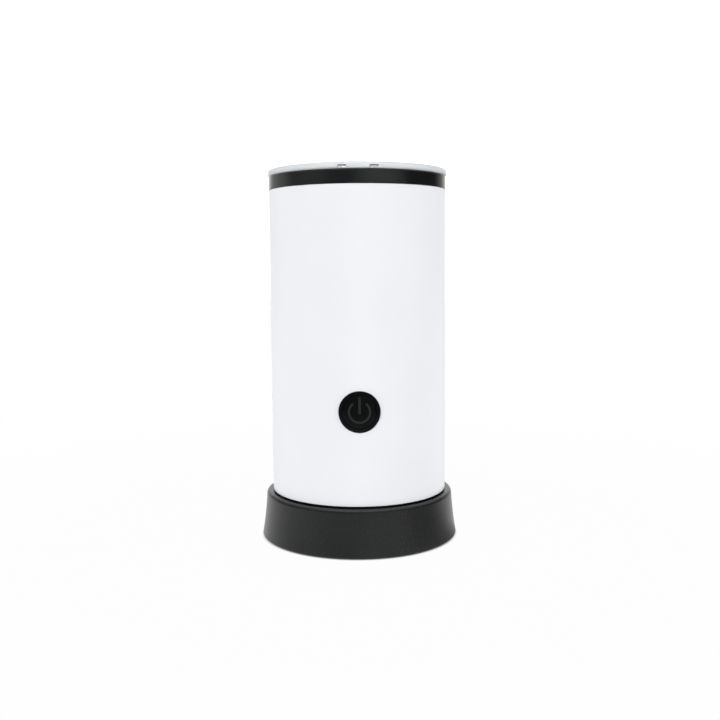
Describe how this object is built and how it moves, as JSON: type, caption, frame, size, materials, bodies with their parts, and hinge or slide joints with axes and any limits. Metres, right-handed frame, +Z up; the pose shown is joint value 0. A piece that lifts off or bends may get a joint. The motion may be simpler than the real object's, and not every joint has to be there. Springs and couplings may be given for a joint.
{
  "type": "milk frother",
  "caption": "Cordless electric milk frother: white round jug with a clear plug lid, dark collar, push button, magnet-driven whisk and heater, seated in a flared black power dock.",
  "frame": {"origin": "on the table under the middle of the dock", "axes": "+Z up, the button faces -Y, the cord inlet faces +Y"},
  "size_m": [0.1046, 0.1046, 0.1933],
  "materials": {
    "black_abs": "satin moulded",
    "collar_black": "smooth moulding",
    "black_gloss": "polished moulding",
    "symbol_grey": "matte inlay",
    "white_enamel": "smooth satin gloss",
    "clear_lid": "clear polished",
    "clear_silicone": "translucent matte",
    "black_rubber": "matte",
    "nonstick_cup": "dark non-stick coating",
    "stainless": "drawn wire, bright",
    "screw_steel": "zinc plated",
    "connector_plastic": "heat-resistant moulding",
    "contact_brass": "pressed",
    "chassis_plastic": "glass-filled moulding",
    "aluminium_plate": "pressed",
    "heater_sheath": "oxidised",
    "motor_steel": "zinc plated",
    "ferrite": "sintered",
    "magnet_nickel": "nickel plated",
    "bakelite": "moulded",
    "sensor_metal": "turned",
    "board_green": "solder mask",
    "relay_blue": "moulded case",
    "capacitor_sleeve": "shrink sleeve",
    "header_white": "moulded",
    "led_lens": "diffused lens",
    "lead_red": "silicone sleeve",
    "lead_brown": "insulated wire",
    "lead_black": "insulated wire"
  },
  "bodies": {
    "dock": {"dock_shell": "black_abs", "dock_plate": "black_abs", "dock_feet": "black_rubber", "dock_screws": "screw_steel", "dock_socket": "connector_plastic", "socket_contacts": "contact_brass", "cord_gland": "black_rubber"},
    "jug": {"outer_shell": "white_enamel", "top_collar": "collar_black", "cup_gasket": "clear_silicone", "inner_cup": "nonstick_cup", "whisk_pin": "stainless", "jug_base": "black_abs", "base_screws": "screw_steel", "jug_plug": "connector_plastic", "plug_contacts": "contact_brass", "chassis": "chassis_plastic", "heater_plate": "aluminium_plate", "heater_element": "heater_sheath", "heater_pins": "contact_brass", "heater_studs": "screw_steel", "stud_nuts": "screw_steel", "thermostat": "bakelite", "temperature_sensor": "sensor_metal", "motor_can": "motor_steel", "motor_bush": "contact_brass", "motor_end_cap": "chassis_plastic", "motor_magnets": "ferrite", "motor_terminals": "contact_brass", "motor_screws": "screw_steel", "main_board": "board_green", "power_relay": "relay_blue", "capacitor": "capacitor_sleeve", "lead_header": "header_white", "button_bezel": "black_gloss", "button_housing": "chassis_plastic", "button_board": "board_green", "tact_switch": "bakelite", "status_led": "led_lens", "supply_leads": "lead_brown", "heater_leads": "lead_red", "motor_leads": "lead_black", "button_lead": "lead_black", "sensor_lead": "lead_black"},
    "lid": {"lid": "clear_lid", "lid_seal": "clear_silicone"},
    "button": {"button_cap": "black_gloss", "power_symbol": "symbol_grey", "switch_plunger": "bakelite"},
    "rotor": {"motor_shaft": "screw_steel", "armature": "motor_steel", "drive_disc": "chassis_plastic", "drive_magnets": "magnet_nickel"},
    "whisk": {"whisk_hub": "chassis_plastic", "whisk_magnets": "magnet_nickel", "whisk_frame": "stainless", "whisk_coil": "stainless"}
  },
  "joints": [
    {"name": "jug_lift", "type": "slide", "parent": "dock", "child": "jug", "axis": [0, 0, 1], "range_m": [0, 0.06]},
    {"name": "lid_lift", "type": "slide", "parent": "jug", "child": "lid", "axis": [0, 0, 1], "range_m": [0, 0.04]},
    {"name": "button_press", "type": "slide", "parent": "jug", "child": "button", "axis": [0, 1, 0], "range_m": [0, 0.0008], "stiffness_N_per_m": 1500},
    {"name": "motor_spin", "type": "hinge", "parent": "jug", "child": "rotor", "pos_m": [0, 0, 0.07], "axis": [0, 0, 1], "continuous": true},
    {"name": "whisk_spin", "type": "hinge", "parent": "jug", "child": "whisk", "pos_m": [0, 0, 0.1], "axis": [0, 0, 1], "continuous": true}
  ],
  "couplings": [
    {"joint": "whisk_spin", "follows": "motor_spin", "ratio": 1}
  ]
}
